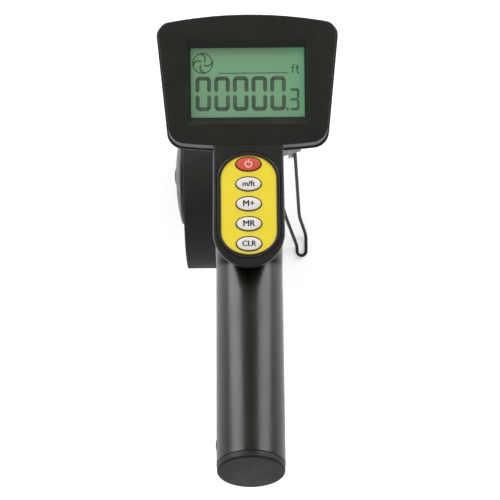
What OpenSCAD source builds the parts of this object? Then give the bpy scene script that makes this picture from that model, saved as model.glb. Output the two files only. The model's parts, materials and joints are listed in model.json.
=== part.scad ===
// Distance-measuring wheel with a digital head, parked upright on its wheel and wire stand.
// Origin: on the floor, under the pole. +Z runs up the pole, -Y points to the user's grip,
// and the wheel sits on the -X side.

/* [Wheel] */
// Radius of the tyre's tread, for a half-metre circumference
wheel_r = 79.5; // [79:0.1:80]
// Width of the tyre
tyre_w = 29.5; // [28:0.5:30]
// Place of the tyre's outer side face, measured from the pole
tyre_face_x = -53.5; // [-54.5:0.1:-53]
// Radius of the domed hub cover
cover_r = 41.3; // [40.5:0.1:42]
// Radius of the steel axle
axle_r = 5; // [4.9:0.05:5.1]

/* [Pole] */
// Outer radius of the fixed lower tube
lower_r = 12.7; // [12.5:0.1:13]
// Outer radius of the sliding upper tube
upper_r = 11; // [10.9:0.05:11]
// Wall of both tubes
tube_wall = 1.4; // [1.2:0.1:1.5]
// Height of the lower tube's top end
lower_top = 470; // [465:1:472]

/* [Stand] */
// Radius of the stand's wire
wire_r = 1.5; // [1.4:0.05:1.6]
// Height of the stand's pivot
pivot_z = 122.4; // [122:0.1:123]
// Distance of the stand's pivot in front of the pole
pivot_y = 17; // [16.8:0.1:17.2]

/* [Head] */
// Height of the display face
face_z = 570; // [568:1:572]
// Depth of the front shell
front_d = 15; // [14:0.5:16]
// Depth of the rear shell
rear_d = 15; // [14:0.5:16]
// Wall of the head's shells
shell_t = 2.2; // [2:0.1:2.4]
// Upward tilt of the keypad tongue, in degrees
tongue_tilt = 10; // [8:0.5:12]
// Travel of a key
key_travel = 0.8; // [0.6:0.1:0.9]

/* [Grip] */
// Rise of the grip above the horizontal, in degrees
grip_rise = 35; // [33:0.5:37]
// Radius of the grip at its root
grip_r0 = 18.3; // [18:0.1:18.6]
// Radius of the grip at its end
grip_r1 = 17.5; // [17.2:0.1:17.8]
// Length of the grip from its root to its end cap
grip_len = 119.5; // [118:0.5:121]

/* [Hidden] */
$fn = 64;
eps = 0.02;
far = 400;

// Fits: a press or screwed fit, a running fit, and the gap between bodies that only pass
press = 0.02;
running = 0.05;
clear = 0.3;

// Wheel and axle
axle_z = wheel_r;
tyre_in_x = tyre_face_x + tyre_w;
rim_r = 67;
hub_r = 18;
bearing_r = 13;
bearing_w = 8;
bearing_out_x = -55.2;
bearing_in_x = -30;
hub_out_x = -55.5;
hub_in_x = -21.5;
housing_x = -17;
cover_x = 13;
cover_t = 2.5;
magnet_ring_r = 22.5;
nut_r = 7;

// Pole
housing_floor = 106;
tube_foot = 112;
upper_foot = 132;
upper_head = 532;
socket_top = 142;
socket_r = 15.5;

// Lock collar and lever
collar_z0 = 452;
collar_z1 = 486;
collar_r = 16.5;
ear_x0 = 1.5;
ear_x1 = 8.2;
ear_y = 25;
lever_pin_x = 5.5;
lever_pin_y = 20.5;
lever_pin_r = 1.5;
knuckle_r = 4;
lever_z0 = 456;
lever_z1 = 482;
knuckle_h = 5.7;

// Stand bracket: sheet, two cheeks and a top flange
sheet_t = 2.5;
bracket_y = 24;
bracket_z0 = 112;
bracket_z1 = 134;
inner_cheek_x = 17.5;
outer_cheek_x = 33.5;
pin_r = 1.4;
leg_in_x = 14.5;
leg_out_x = 38.7;

// Head outline: straight sides that narrow downward, bowed top and bottom edges
head_taper = 5.7;
top_bow = 237;
low_bow = 334;
corner_top = 6.5;
corner_low = 9;
seam_z = face_z - front_d;
floor_z = seam_z - rear_d;
face_t = 3;
crease_y = -8.4;
face_side = 47.6;
seam_side = 49.2;
face_top = 62.1;
seam_top = 63.5;
face_bottom = -8.4;
seam_bottom = -10.6;

// Keypad tongue
tongue_w0 = 18.8;
tongue_w1 = 19.2;
tongue_end = -54.4;
tongue_d = 14;
pad_mid = 31.9;
pad_w = 29.6;
pad_l = 53.4;
pad_straight = 28.2;
rim_w = 2;
key_w = 13.8;
key_h = 7.9;
key_pitch = 10.8;
key_first = 9.9;
key_flange = 1.2;
key_foot = -2.3;

// Display
lcd_y = 25.9;
lcd_w = 61;
lcd_h = 37.3;
bevel_w = 65.6;
bevel_h = 45;

// Grip frame: its origin is on the grip's axis, at the root
grip_y = -74.8;
grip_z = 547;
cell_r = 7.25;
cell_len = 50.5;
liner_r = 9.2;
liner_in = 7.8;

// Screw places: head screws and neck screws in plan, body screws along the grip
head_screw_at = [[37, 48], [-37, 48], [33, 1], [-33, 1]];
neck_screw_at = [[14, -2], [-14, -2]];
body_screw_s = [25, 95];
body_screw_n = -12.8;
low_screw_y = -27;
low_screw_z = 508;
side_screw_s = 108;
cover_screw_a = [30, 150, 270];
cover_screw_r = 20;

function unit(v) = v / norm(v);
function arc(cx, cy, r, a0, a1, n) =
    [for (i = [0:n]) [cx + r * cos(a0 + (a1 - a0) * i / n), cy + r * sin(a0 + (a1 - a0) * i / n)]];

// The head's outline: side is its half width at y = 50, top and bottom are its middle's ends
function head_outline(side, top, bottom) =
    let (
        k = tan(head_taper),
        c = sqrt(1 + k * k),
        uy = top - top_bow + sqrt(pow(top_bow - corner_top, 2) - pow(side - corner_top, 2)),
        ux = side + (uy - 50) * k - corner_top * c,
        ua = atan2(uy - top + top_bow, ux),
        ly = bottom + low_bow - sqrt(pow(low_bow - corner_low, 2) - pow(side - 14, 2)),
        lx = side + (ly - 50) * k - corner_low * c,
        la = atan2(ly - bottom - low_bow, lx)
    )
    concat(
        arc(lx, ly, corner_low, la, -head_taper, 6),
        arc(ux, uy, corner_top, -head_taper, ua, 6),
        arc(0, top - top_bow, top_bow, ua, 180 - ua, 12),
        arc(-ux, uy, corner_top, 180 - ua, 180 + head_taper, 6),
        arc(-lx, ly, corner_low, 180 + head_taper, 180 - la, 6),
        arc(0, bottom + low_bow, low_bow, -180 - la, la, 8)
    );

// The tongue's outline in plan, drawn in by an inset
function tongue_outline(inset) =
    concat(
        [[tongue_w0 - inset, crease_y + 8], [-tongue_w0 + inset, crease_y + 8]],
        arc(0, tongue_end, tongue_w1 - inset, 180, 360, 24)
    );

// An oval with straight sides and half-ellipse ends, its length along Y
function oval(w, l, straight) =
    concat(
        [for (p = arc(0, 0, 1, 0, 180, 16)) [p[0] * w / 2, p[1] * (l - straight) / 2 + straight / 2]],
        [for (p = arc(0, 0, 1, 180, 360, 16)) [p[0] * w / 2, p[1] * (l - straight) / 2 - straight / 2]]
    );

function ellipse(w, h) = [for (p = arc(0, 0, 1, 0, 348, 29)) [p[0] * w / 2, p[1] * h / 2]];

// Height of the hub cover's dome, towards -X, at radius r
function dome_x(r) = -62.4 + 4.9 * pow(r / 41, 2.4);

module xcyl(r, x0, x1) {
    translate([x0, 0, 0]) rotate([0, 90, 0]) cylinder(r = r, h = x1 - x0);
}
module ring(ro, ri, z0, z1) {
    translate([0, 0, z0]) difference() {
        cylinder(r = ro, h = z1 - z0);
        translate([0, 0, -1]) cylinder(r = ri, h = z1 - z0 + 2);
    }
}
module xring(ro, ri, x0, x1) {
    translate([x0, 0, 0]) rotate([0, 90, 0]) ring(ro, ri, 0, x1 - x0);
}
module at_axle() {
    translate([0, 0, axle_z]) children();
}
// Local z runs along the grip to its end, local y is the grip's upper side
module on_grip() {
    translate([0, grip_y, grip_z]) rotate([90 - grip_rise, 0, 0]) children();
}
// Local z is the tongue's surface normal, local -y runs down the tongue from the crease
module on_tongue() {
    translate([0, crease_y, face_z]) rotate([-tongue_tilt, 0, 0]) children();
}
module slab(w0, w1) {
    on_tongue() translate([-far / 2, -far / 2, w0]) cube([far, far, w1 - w0]);
}
module plate_between(low, z0, high, z1) {
    hull() {
        translate([0, 0, z0]) linear_extrude(eps) polygon(low);
        translate([0, 0, z1 - eps]) linear_extrude(eps) polygon(high);
    }
}

// ---- Lower frame ----

module lower_tube() {
    color("dimgray") ring(lower_r, lower_r - tube_wall, tube_foot, lower_top);
}

// The sensor housing's side outline: a disc round the axle that narrows up to the pole
module housing_outline(inset) {
    circle(r = 27 - inset);
    polygon([[-26 + inset, 8], [26 - inset, 8], [16.5 - inset, 48], [-16.5 + inset, 48]]);
}
// Local x is world Y, local y is world Z from the axle
module housing_slice(x0, x1, inset) {
    translate([x0, 0, axle_z]) rotate([90, 0, 90]) linear_extrude(x1 - x0) housing_outline(inset);
}
module cover_posts(r, x0, x1) {
    for (a = cover_screw_a)
        at_axle() translate([0, cover_screw_r * cos(a), cover_screw_r * sin(a)]) xcyl(r, x0, x1);
}
module bracket_holes(r, y0, y1) {
    for (x = [-7, 7])
        translate([x, y1, (bracket_z0 + bracket_z1) / 2]) rotate([90, 0, 0]) cylinder(r = r, h = y1 - y0);
}
module sensor_housing() {
    color("dimgray") difference() {
        union() {
            difference() {
                housing_slice(housing_x, cover_x, 0);
                intersection() {
                    housing_slice(housing_x + 2.2, cover_x + 1, 2.4);
                    translate([-far / 2, -far / 2, 0]) cube([far, far, housing_floor - 2]);
                }
            }
            translate([0, 0, housing_floor]) cylinder(r = socket_r, h = socket_top - housing_floor);
            translate([-12, 10, 110]) cube([24, bracket_y - 10, 26]);
            at_axle() xcyl(9, housing_x + 2, 4);
            cover_posts(3.4, housing_x + 2, cover_x);
        }
        at_axle() xcyl(axle_r + press, housing_x - 1, 5);
        translate([0, 0, tube_foot]) cylinder(r = lower_r + press, h = 40);
        translate([0, 0, 95]) cylinder(r = 4, h = 20);
        bracket_holes(2 + press, 15, bracket_y + 1);
        cover_posts(1.5, 2, cover_x + 1);
    }
}
module housing_cover() {
    color("dimgray") difference() {
        intersection() {
            housing_slice(cover_x, cover_x + cover_t, 0);
            translate([-far / 2, -far / 2, 0]) cube([far, far, housing_floor]);
        }
        cover_posts(1.6, cover_x - 1, cover_x + 4);
    }
}
module housing_screws() {
    color("silver") {
        cover_posts(1.5 - press, 3, cover_x + cover_t);
        cover_posts(2.8, cover_x + cover_t, cover_x + cover_t + 1.5);
    }
}
module axle() {
    color("silver") at_axle() {
        xcyl(axle_r, -57, 11);
        xcyl(4, -62, -56);
    }
}
module axle_nut() {
    color("dimgray") at_axle() difference() {
        xcyl(nut_r, -63.6, -57);
        xcyl(4 + press, -62.2, -56);
    }
}
module axle_washer() {
    color("silver") at_axle() xring(8, axle_r + press, -57, -55.6);
}
module axle_spacer() {
    color("silver") at_axle() xring(8, axle_r + press, bearing_in_x + bearing_w + clear, housing_x);
}
module axle_locknut() {
    color("silver") at_axle() translate([4, 0, 0]) rotate([0, 90, 0]) difference() {
        cylinder(r = 8, h = 5.5, $fn = 6);
        translate([0, 0, -1]) cylinder(r = axle_r + press, h = 8);
    }
}
module sensor_board() {
    color("seagreen") translate([-13, -9, 91]) cube([1.6, 18, 12.5]);
}
module hall_sensors() {
    color("black") for (y = [-5.5, 1.5]) translate([-14.3, y, 99.5]) cube([1.3, 4, 3]);
}
// Coiled lead from the sensor board up the pole to the head
module sensor_lead() {
    color("black") ring(6, 3, 113.5, 530);
}

module bracket_flange() {
    translate([0, 0, bracket_z1 - sheet_t]) linear_extrude(sheet_t) polygon([
        [inner_cheek_x, 13], [28, 13], [43.5, 17.5],
        [43.5, bracket_y + sheet_t], [inner_cheek_x, bracket_y + sheet_t]
    ]);
}
module stand_bracket() {
    color("gainsboro") difference() {
        union() {
            translate([-12, bracket_y, bracket_z0])
                cube([outer_cheek_x + sheet_t + 12, sheet_t, bracket_z1 - bracket_z0]);
            for (x = [inner_cheek_x, outer_cheek_x])
                translate([x, 13, bracket_z0])
                    cube([sheet_t, bracket_y - 13 + 1, bracket_z1 - bracket_z0]);
            bracket_flange();
            // Stop lug behind the outer leg: the parked stand can't swing back past it
            translate([outer_cheek_x, 13.6, bracket_z0 - 6]) cube([7, 3.4, 6]);
            translate([outer_cheek_x, 13, bracket_z0 - 6]) cube([sheet_t, bracket_y - 13, 7]);
        }
        translate([0, pivot_y, pivot_z]) xcyl(pin_r + running, inner_cheek_x - 1, outer_cheek_x + 4);
        bracket_holes(2 + press, bracket_y - 1, bracket_y + 4);
    }
}
module bracket_screws() {
    color("silver") {
        bracket_holes(2, 15.5, bracket_y + sheet_t);
        bracket_holes(4, bracket_y + sheet_t, bracket_y + sheet_t + 2);
    }
}

// ---- Lock collar ----

module ear(x0, z0, z1) {
    translate([x0, 10, z0]) cube([ear_x1 - ear_x0, ear_y - 10, z1 - z0]);
}
module lever_pin_cyl(r, z0, z1) {
    translate([lever_pin_x, lever_pin_y, z0]) cylinder(r = r, h = z1 - z0);
}
module collar_bolt(r, x0, x1) {
    translate([0, 15.6, 469]) xcyl(r, x0, x1);
}
module lock_collar() {
    color("black") difference() {
        union() {
            translate([0, 0, collar_z0]) cylinder(r = collar_r, h = collar_z1 - collar_z0);
            ear(ear_x0, lever_z0 + knuckle_h + clear, lever_z1 - knuckle_h - clear);
            ear(-ear_x1, lever_z0, lever_z1);
        }
        translate([0, 0, collar_z0 - 1]) cylinder(r = lower_r + press, h = lower_top - collar_z0 + 1);
        translate([0, 0, collar_z0]) cylinder(r = upper_r + running, h = far);
        translate([-ear_x0, 8, collar_z0 - 1]) cube([2 * ear_x0, 20, far]);
        lever_pin_cyl(lever_pin_r + press, lever_z0 - 5, lever_z1 + 5);
        collar_bolt(1.5 + press, -20, 20);
        // Flat seats in the collar's round side for the screw's head and its nut
        collar_bolt(3.3, -20, -ear_x1);
        collar_bolt(3.3, ear_x1, 20);
    }
}
module collar_screw() {
    color("silver") {
        collar_bolt(1.5, -ear_x1 - 1, ear_x1 + 3);
        collar_bolt(3, -ear_x1 - 2.5, -ear_x1);
        translate([ear_x1, 0, 0]) translate([0, 15.6, 469]) rotate([0, 90, 0])
            cylinder(r = 3, h = 2.4, $fn = 6);
    }
}
module lever_pin() {
    color("silver") lever_pin_cyl(lever_pin_r, lever_z0 - 0.5, lever_z1 + 0.5);
}
module lock_lever() {
    color("goldenrod") difference() {
        union() {
            for (z = [lever_z0, lever_z1 - knuckle_h]) {
                translate([lever_pin_x, lever_pin_y, z]) cylinder(r = knuckle_r, h = knuckle_h);
                translate([lever_pin_x, lever_pin_y, z]) cube([knuckle_r, 9.5, knuckle_h]);
            }
            translate([-20, ear_y + 0.8, lever_z0]) cube([25.5 + knuckle_r, 4.2, lever_z1 - lever_z0]);
        }
        lever_pin_cyl(lever_pin_r + running, lever_z0 - 1, lever_z1 + 1);
    }
}

// ---- Wheel ----

// A solid of revolution about the axle from (radius, x) points
module turned(points) {
    at_axle() rotate([0, 90, 0]) rotate_extrude($fn = 96) polygon(points);
}
module wheel_disc() {
    color("dimgray") difference() {
        turned([
            [10, hub_out_x], [hub_r, hub_out_x], [hub_r, -41.5], [38.5, -41.5], [38.5, -53.2],
            [cover_r - 0.3, -53.2], [cover_r - 0.3, -41.5], [62, -41.5], [62, tyre_face_x + 0.5],
            [rim_r, tyre_face_x + 0.5], [rim_r, tyre_in_x - 0.5], [62, tyre_in_x - 0.5],
            [62, -37.5], [hub_r, -37.5], [hub_r, hub_in_x], [10, hub_in_x]
        ]);
        at_axle() {
            xcyl(bearing_r + press, hub_out_x - 1, bearing_out_x + bearing_w);
            xcyl(bearing_r + press, bearing_in_x, hub_in_x + 1);
            for (i = [0:4])
                rotate([72 * i, 0, 0]) translate([0, 0, 51.5]) xcyl(8, -45, -35);
        }
    }
}
module tyre() {
    shoulder = 2.5;
    color("black") turned(concat(
        [[rim_r + press, tyre_in_x], [rim_r + press, tyre_face_x]],
        arc(wheel_r - shoulder, tyre_face_x + shoulder, shoulder, -90, 0, 6),
        arc(wheel_r - shoulder, tyre_in_x - shoulder, shoulder, 0, 90, 6)
    ));
}
module hub_cover() {
    skin = 2;
    edge = cover_r - 0.3;
    color("dimgray") turned(concat(
        [for (i = [0:12]) let (r = 7.6 + (edge - 7.6) * i / 12) [r, dome_x(r)]],
        [[cover_r, -57], [cover_r, -53.2], [cover_r - skin, -53.2]],
        [for (i = [12:-1:0]) let (r = 7.6 + (edge - 9.6) * i / 12) [r, dome_x(r) + skin]]
    ));
}
module wheel_bearings() {
    color("silver") at_axle() {
        xring(bearing_r, axle_r + running, bearing_out_x, bearing_out_x + bearing_w);
        xring(bearing_r, axle_r + running, bearing_in_x, bearing_in_x + bearing_w);
    }
}
module magnet_cyls(r, x0, x1) {
    at_axle() for (i = [0:9])
        rotate([36 * i, 0, 0]) translate([0, 0, magnet_ring_r]) xcyl(r, x0, x1);
}
module magnet_ring() {
    color("black") difference() {
        at_axle() xring(27, hub_r + press, -27, hub_in_x);
        magnet_cyls(2.2, -24.5, hub_in_x + 1);
    }
}
module magnets() {
    color("silver") magnet_cyls(2.2 - press, -24.5, hub_in_x);
}

// ---- Stand ----

// A corner of the wire's route rounded over distance d on both sides
function corner(a, b, c, d) =
    let (p = b + d * unit(a - b), q = b + d * unit(c - b))
    [for (i = [0:5]) let (t = i / 5) (1 - t) * (1 - t) * p + 2 * t * (1 - t) * b + t * t * q];

foot_r = 4.1;
foot_x = 47.6;
foot_y = -65.4;
pin_out = [outer_cheek_x + sheet_t + 0.3, pivot_y, pivot_z];
bend_out = [leg_out_x, pivot_y, pivot_z];
elbow = [45, -34, 25];
heel = [foot_x + foot_r, -51, wire_r];
toe_out = [foot_x + foot_r, foot_y, wire_r];
toe_in = [foot_x - foot_r, foot_y, wire_r];
lift = [foot_x - foot_r, -61, wire_r + 0.6];
knee = [32.6, -35, 40];
bend_in = [leg_in_x, pivot_y, pivot_z];
pin_in = [inner_cheek_x - 0.3, pivot_y, pivot_z];
wire_route = concat(
    [pin_out],
    corner(pin_out, bend_out, elbow, 2.2),
    corner(bend_out, elbow, heel, 7),
    corner(elbow, heel, toe_out, 5),
    [for (p = arc(foot_x, foot_y, foot_r, 0, -180, 8)) [p[0], p[1], wire_r]],
    corner(toe_in, lift, knee, 3),
    corner(lift, knee, bend_in, 9),
    corner(knee, bend_in, pin_in, 2.2),
    [pin_in]
);

// A round wire swept along a route, its rings carried along without twist
module sweep(path, r, sides) {
    n = len(path);
    tan_at = [for (i = [0:n - 1]) unit(path[min(i + 1, n - 1)] - path[max(i - 1, 0)])];
    first = unit(cross(tan_at[0], [0, 0.6, 0.8]));
    normals = [for (i = 0, v = first; i < n;
        i = i + 1, v = i < n ? unit(v - (v * tan_at[i]) * tan_at[i]) : v) v];
    points = [for (i = [0:n - 1]) for (j = [0:sides - 1])
        path[i] + r * cos(360 * j / sides) * normals[i]
        + r * sin(360 * j / sides) * cross(tan_at[i], normals[i])];
    skin = [for (i = [0:n - 2]) for (j = [0:sides - 1]) let (k = (j + 1) % sides)
        [(i + 1) * sides + j, (i + 1) * sides + k, i * sides + k, i * sides + j]];
    near_end = [for (j = [0:sides - 1]) j];
    far_end = [for (j = [sides - 1:-1:0]) (n - 1) * sides + j];
    polyhedron(points = points, faces = concat(skin, [near_end, far_end]));
}
module stand_wire() {
    color("dimgray") {
        sweep(wire_route, wire_r, 12);
        translate([0, pivot_y, pivot_z]) {
            xcyl(pin_r, inner_cheek_x - 2, inner_cheek_x + 5);
            xcyl(pin_r, outer_cheek_x - 2.5, outer_cheek_x + sheet_t + 1.2);
        }
    }
}

// ---- Upper pole and body ----

module upper_tube() {
    color("silver") ring(upper_r, upper_r - 1.2, upper_foot, upper_head);
}
module tube_glide() {
    color("white") {
        ring(lower_r - tube_wall - running, 8.6, upper_foot - 6, upper_foot);
        ring(upper_r - 1.2 - press, 8.6, upper_foot - 1, upper_foot + 10);
    }
}

module head_envelope() {
    front_block();
    rear_block();
}
module front_block() {
    plate_between(
        head_outline(seam_side, seam_top, seam_bottom), seam_z,
        head_outline(face_side, face_top, face_bottom), face_z
    );
    tongue_block(0, -tongue_d, 0);
}
module tongue_block(inset, w0, w1) {
    intersection() {
        translate([0, 0, seam_z - 5]) linear_extrude(40) polygon(tongue_outline(inset));
        slab(w0, w1);
        translate([-50, -100, seam_z]) cube([100, 100, 60]);
    }
}
module rear_block() {
    plate_between(
        head_outline(seam_side - 4, seam_top - 4, seam_bottom + 3.5), floor_z,
        head_outline(seam_side - 0.5, seam_top - 0.5, seam_bottom + 0.5), seam_z
    );
}

// Pole socket, neck and grip as one form
module body_form() {
    hull() {
        translate([0, 0, 492]) cylinder(r = 17.5, h = floor_z - 492, $fn = 32);
        on_grip() translate([0, 0, -4]) cylinder(r = grip_r0, h = 4, $fn = 32);
        intersection() {
            translate([0, 0, 545]) linear_extrude(35) polygon(tongue_outline(0.9));
            slab(-tongue_d - 3, -tongue_d);
            translate([-50, -66, 540]) cube([100, 55.4, 60]);
        }
    }
    on_grip() translate([0, 0, -6])
        cylinder(r1 = grip_r0, r2 = grip_r1, h = grip_len + 6);
}
module screw_bosses(r, x0, x1) {
    on_grip() for (s = body_screw_s) translate([0, body_screw_n, s]) xcyl(r, x0, x1);
    translate([0, low_screw_y, low_screw_z]) xcyl(r, x0, x1);
}
module body_hollow() {
    // Grip's inside, closed by an end wall round the battery tube
    on_grip() translate([0, 0, 2]) cylinder(r1 = grip_r0 - 3, r2 = grip_r1 - 3, h = grip_len - 7.5);
    // Neck's inside, open to the head
    translate([-14.5, 0, 0]) rotate([90, 0, 90]) linear_extrude(29)
        polygon([[-22, 536], [-16, 549], [-60, 557], [-68, 546], [-40, 522]]);
    translate([0, 0, 538]) cylinder(r = 8, h = 20);
}
module body_whole() {
    difference() {
        union() {
            difference() {
                body_form();
                body_hollow();
            }
            intersection() {
                body_form();
                screw_bosses(3.1, -18, 18);
            }
        }
        head_envelope();
        translate([0, 0, 480]) cylinder(r = upper_r + press, h = upper_head - 480 + 0.5);
        translate([0, 0, 500]) cylinder(r = 8, h = 50);
        on_grip() translate([0, 0, 4]) cylinder(r = liner_r + press, h = 130);
        on_grip() translate([-2.02, -40, side_screw_s - 5.02]) cube([4.04, 26.8, 10.04]);
        on_grip() translate([0, 0, side_screw_s]) {
            xcyl(1.5 + press, -30, -8);
            xcyl(3.4 + press, -30, -16.4);
        }
        screw_bosses(1.5 + press, -30, 10.5);
        screw_bosses(2.9, -30, -11);
        for (p = neck_screw_at) translate([p[0], p[1], 524]) cylinder(r = 1.5 + press, h = 30);
    }
}
module body_left() {
    color("dimgray") intersection() {
        body_whole();
        translate([-far, -far, 0]) cube([far, 2 * far, 2 * far]);
    }
}
module body_right() {
    color("dimgray") intersection() {
        body_whole();
        translate([0, -far, 0]) cube([far, 2 * far, 2 * far]);
    }
}
module body_screws() {
    color("silver") {
        screw_bosses(1.5, -12, 10);
        screw_bosses(2.8, -12.6, -11);
    }
}
module grip_side_screw() {
    color("black") on_grip() translate([0, 0, side_screw_s]) {
        xcyl(3.4, -18, -16.4);
        xcyl(1.5, -17, -liner_r - 0.1);
    }
}
module neck_screws() {
    color("silver") for (p = neck_screw_at) {
        translate([p[0], p[1], 525]) cylinder(r = 1.5, h = floor_z + 3 - 525);
        translate([p[0], p[1], floor_z + 2.5]) cylinder(r = 2.8, h = 1.8);
    }
}
module strap_eye() {
    color("black") on_grip() difference() {
        translate([-2, -26, side_screw_s - 5]) cube([4, 12.7, 10]);
        translate([0, -21.6, side_screw_s]) xcyl(2.2, -5, 5);
    }
}
module battery_tube() {
    color("whitesmoke") on_grip() difference() {
        translate([0, 0, 4]) cylinder(r = liner_r, h = grip_len - 4);
        translate([0, 0, 5]) cylinder(r = liner_in, h = grip_len);
        translate([0, 0, 3]) cylinder(r = 2, h = 5);
    }
}
module batteries() {
    color("goldenrod") on_grip() for (i = [0, 1]) {
        translate([0, 0, 9 + i * cell_len]) cylinder(r = cell_r, h = cell_len - 1.2);
        translate([0, 0, 9 + i * cell_len]) cylinder(r = 2.7, h = cell_len);
    }
}
module battery_spring() {
    color("silver") on_grip() ring(5, 3.6, 5, 9);
}
module battery_cap() {
    color("black") on_grip() {
        translate([0, 0, grip_len + 0.1]) cylinder(r = grip_r1 - 0.3, h = 3.9);
        translate([0, 0, 112.5]) cylinder(r = liner_in - running, h = 8);
        translate([0, 0, 110.4]) cylinder(r = 4, h = 3);
    }
}

// ---- Head ----

module head_screw_cyls(r, z0, z1) {
    for (p = head_screw_at) translate([p[0], p[1], z0]) cylinder(r = r, h = z1 - z0);
}
module head_front_shell() {
    color("dimgray") difference() {
        union() {
            difference() {
                front_block();
                plate_between(
                    head_outline(seam_side - shell_t, seam_top - shell_t, seam_bottom + shell_t),
                    seam_z - 1,
                    head_outline(face_side - shell_t, face_top - shell_t, face_bottom + shell_t),
                    face_z - face_t
                );
                tongue_block(shell_t, -tongue_d - 1, -2.5);
            }
            head_screw_cyls(3.8, seam_z, face_z - 1);
        }
        head_screw_cyls(1.5 + press, seam_z - 1, face_z - 6);
        translate([-lcd_w / 2, lcd_y - lcd_h / 2, face_z - 5]) cube([lcd_w, lcd_h, 10]);
        // Bevelled frame round the display
        hull() {
            translate([-lcd_w / 2, lcd_y - lcd_h / 2, face_z - 2]) cube([lcd_w, lcd_h, eps]);
            translate([-bevel_w / 2, lcd_y - bevel_h / 2, face_z]) cube([bevel_w, bevel_h, 1]);
        }
        on_tongue() translate([0, -pad_mid, -5])
            linear_extrude(10) polygon(oval(pad_w + 2 * rim_w + 0.1, pad_l + 2 * rim_w + 0.1, pad_straight));
    }
}
module head_rear_shell() {
    color("dimgray") difference() {
        union() {
            difference() {
                rear_block();
                plate_between(
                    head_outline(seam_side - 4 - shell_t, seam_top - 4 - shell_t, seam_bottom + 3.5 + shell_t),
                    floor_z + 2.5,
                    head_outline(seam_side - 0.5 - shell_t, seam_top - 0.5 - shell_t, seam_bottom + 0.5 + shell_t),
                    seam_z + 1
                );
            }
            head_screw_cyls(4, floor_z + 1, seam_z);
        }
        head_screw_cyls(1.5 + press, floor_z - 1, seam_z + 1);
        head_screw_cyls(3, floor_z - 1, floor_z + 2);
        translate([0, 0, floor_z - 1]) cylinder(r = 8, h = 5);
        for (p = neck_screw_at) translate([p[0], p[1], floor_z - 1]) cylinder(r = 1.5 + press, h = 5);
    }
}
module head_screws() {
    color("silver") {
        head_screw_cyls(1.5, floor_z + 1, face_z - 7);
        head_screw_cyls(2.8, floor_z + 0.2, floor_z + 2);
    }
}
module lcd_window() {
    color("lightgray", 0.4) translate([-32, lcd_y - 20, face_z - face_t - 1.4]) cube([64, 40, 1.4]);
}
module lcd_module() {
    color("darkseagreen") translate([-32, lcd_y - 20.5, face_z - 9]) cube([64, 41, 4.4]);
}
module main_board() {
    color("seagreen") {
        translate([-32, 4, 557]) cube([64, 44, 1.6]);
        translate([-9, 18, 554.8]) cube([14, 14, 2.3]);
        translate([12, 30, 553]) cube([10, 6, 4.1]);
    }
}

// ---- Keypad ----

module keypad_rim() {
    color("black") on_tongue() translate([0, -pad_mid, -2.5]) linear_extrude(3.1) difference() {
        polygon(oval(pad_w + 2 * rim_w, pad_l + 2 * rim_w, pad_straight));
        polygon(oval(pad_w + 0.1, pad_l + 0.1, pad_straight));
    }
}
module keypad_panel() {
    color("gold") on_tongue() translate([0, 0, -1.2]) linear_extrude(1.1) difference() {
        translate([0, -pad_mid]) polygon(oval(pad_w, pad_l, pad_straight));
        for (i = [0:4])
            translate([0, -key_first - i * key_pitch]) polygon(ellipse(key_w + 0.6, key_h + 0.6));
    }
}
module key(i) {
    on_tongue() translate([0, -key_first - i * key_pitch, 0]) {
        translate([0, 0, key_foot]) linear_extrude(2.9) polygon(ellipse(key_w, key_h));
        translate([0, 0, key_foot]) linear_extrude(0.7) polygon(ellipse(key_w + key_flange, key_h + key_flange));
    }
}
module keypad_mat() {
    color("gray") on_tongue() translate([0, -pad_mid, -4.5])
        linear_extrude(4.5 + key_foot - key_travel - 0.4) polygon(oval(pad_w, pad_l, pad_straight));
}
module key_board() {
    color("seagreen") on_tongue() translate([0, -pad_mid, -6.1])
        linear_extrude(1.6) polygon(oval(pad_w + 2, pad_l + 2, pad_straight));
}
module key_power() {
    color("crimson") key(0);
}
module key_unit() {
    color("white") key(1);
}
module key_save() {
    color("white") key(2);
}
module key_recall() {
    color("white") key(3);
}
module key_clear() {
    color("white") key(4);
}

lower_tube();
sensor_housing();
housing_cover();
housing_screws();
axle();
axle_nut();
axle_washer();
axle_spacer();
axle_locknut();
sensor_board();
hall_sensors();
sensor_lead();
stand_bracket();
bracket_screws();
lock_collar();
collar_screw();
lever_pin();
lock_lever();
wheel_disc();
tyre();
hub_cover();
wheel_bearings();
magnet_ring();
magnets();
stand_wire();
upper_tube();
tube_glide();
body_left();
body_right();
body_screws();
grip_side_screw();
neck_screws();
strap_eye();
battery_tube();
batteries();
battery_spring();
battery_cap();
head_front_shell();
head_rear_shell();
head_screws();
lcd_window();
lcd_module();
main_board();
keypad_rim();
keypad_panel();
keypad_mat();
key_board();
key_power();
key_unit();
key_save();
key_recall();
key_clear();
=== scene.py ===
"""Looks of a handheld distance-measuring wheel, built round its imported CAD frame.

Lengths in this file are millimetres, as in the CAD; MM turns them into the scene's metres.
"""
import json
import math

import bmesh
import bpy
from mathutils import Matrix, Vector


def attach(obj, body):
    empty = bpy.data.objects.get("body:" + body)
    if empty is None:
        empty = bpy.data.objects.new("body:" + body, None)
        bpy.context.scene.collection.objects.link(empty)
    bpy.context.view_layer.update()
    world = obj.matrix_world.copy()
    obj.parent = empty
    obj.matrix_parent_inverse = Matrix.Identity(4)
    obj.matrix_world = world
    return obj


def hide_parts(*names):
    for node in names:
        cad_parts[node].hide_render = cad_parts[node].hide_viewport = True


MM = 0.001

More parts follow.
